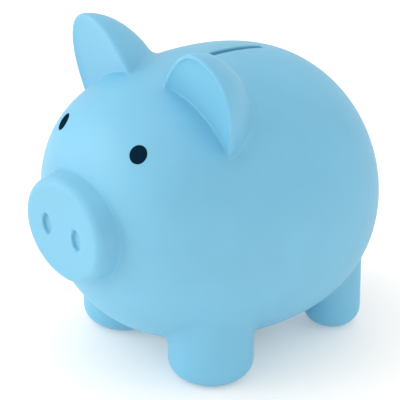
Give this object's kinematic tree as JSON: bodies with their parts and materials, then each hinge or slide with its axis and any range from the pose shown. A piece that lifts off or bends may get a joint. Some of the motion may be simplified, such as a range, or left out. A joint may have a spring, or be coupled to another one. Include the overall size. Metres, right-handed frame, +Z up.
{
  "type": "piggy bank",
  "caption": "Hollow soft vinyl piggy bank on stub feet, with a coin slot along the back and a push-in stopper in the belly.",
  "frame": {"origin": "on the ground, under the middle of the pig's bounding box", "axes": "+Z up, the pig looks along -Y, its left side is +X"},
  "size_m": [0.14, 0.1748, 0.1616],
  "materials": {
    "blue_vinyl": "satin soft vinyl",
    "eye_ink": "printed ink",
    "stopper_vinyl": "soft translucent vinyl"
  },
  "bodies": {
    "bank": {"body_shell": "blue_vinyl", "eye_left": "eye_ink", "eye_right": "eye_ink"},
    "stopper": {"belly_stopper": "stopper_vinyl"}
  },
  "joints": [
    {"name": "stopper_pull", "type": "slide", "parent": "bank", "child": "stopper", "axis": [0, 0, -1], "range_m": [0, 0.035]}
  ]
}
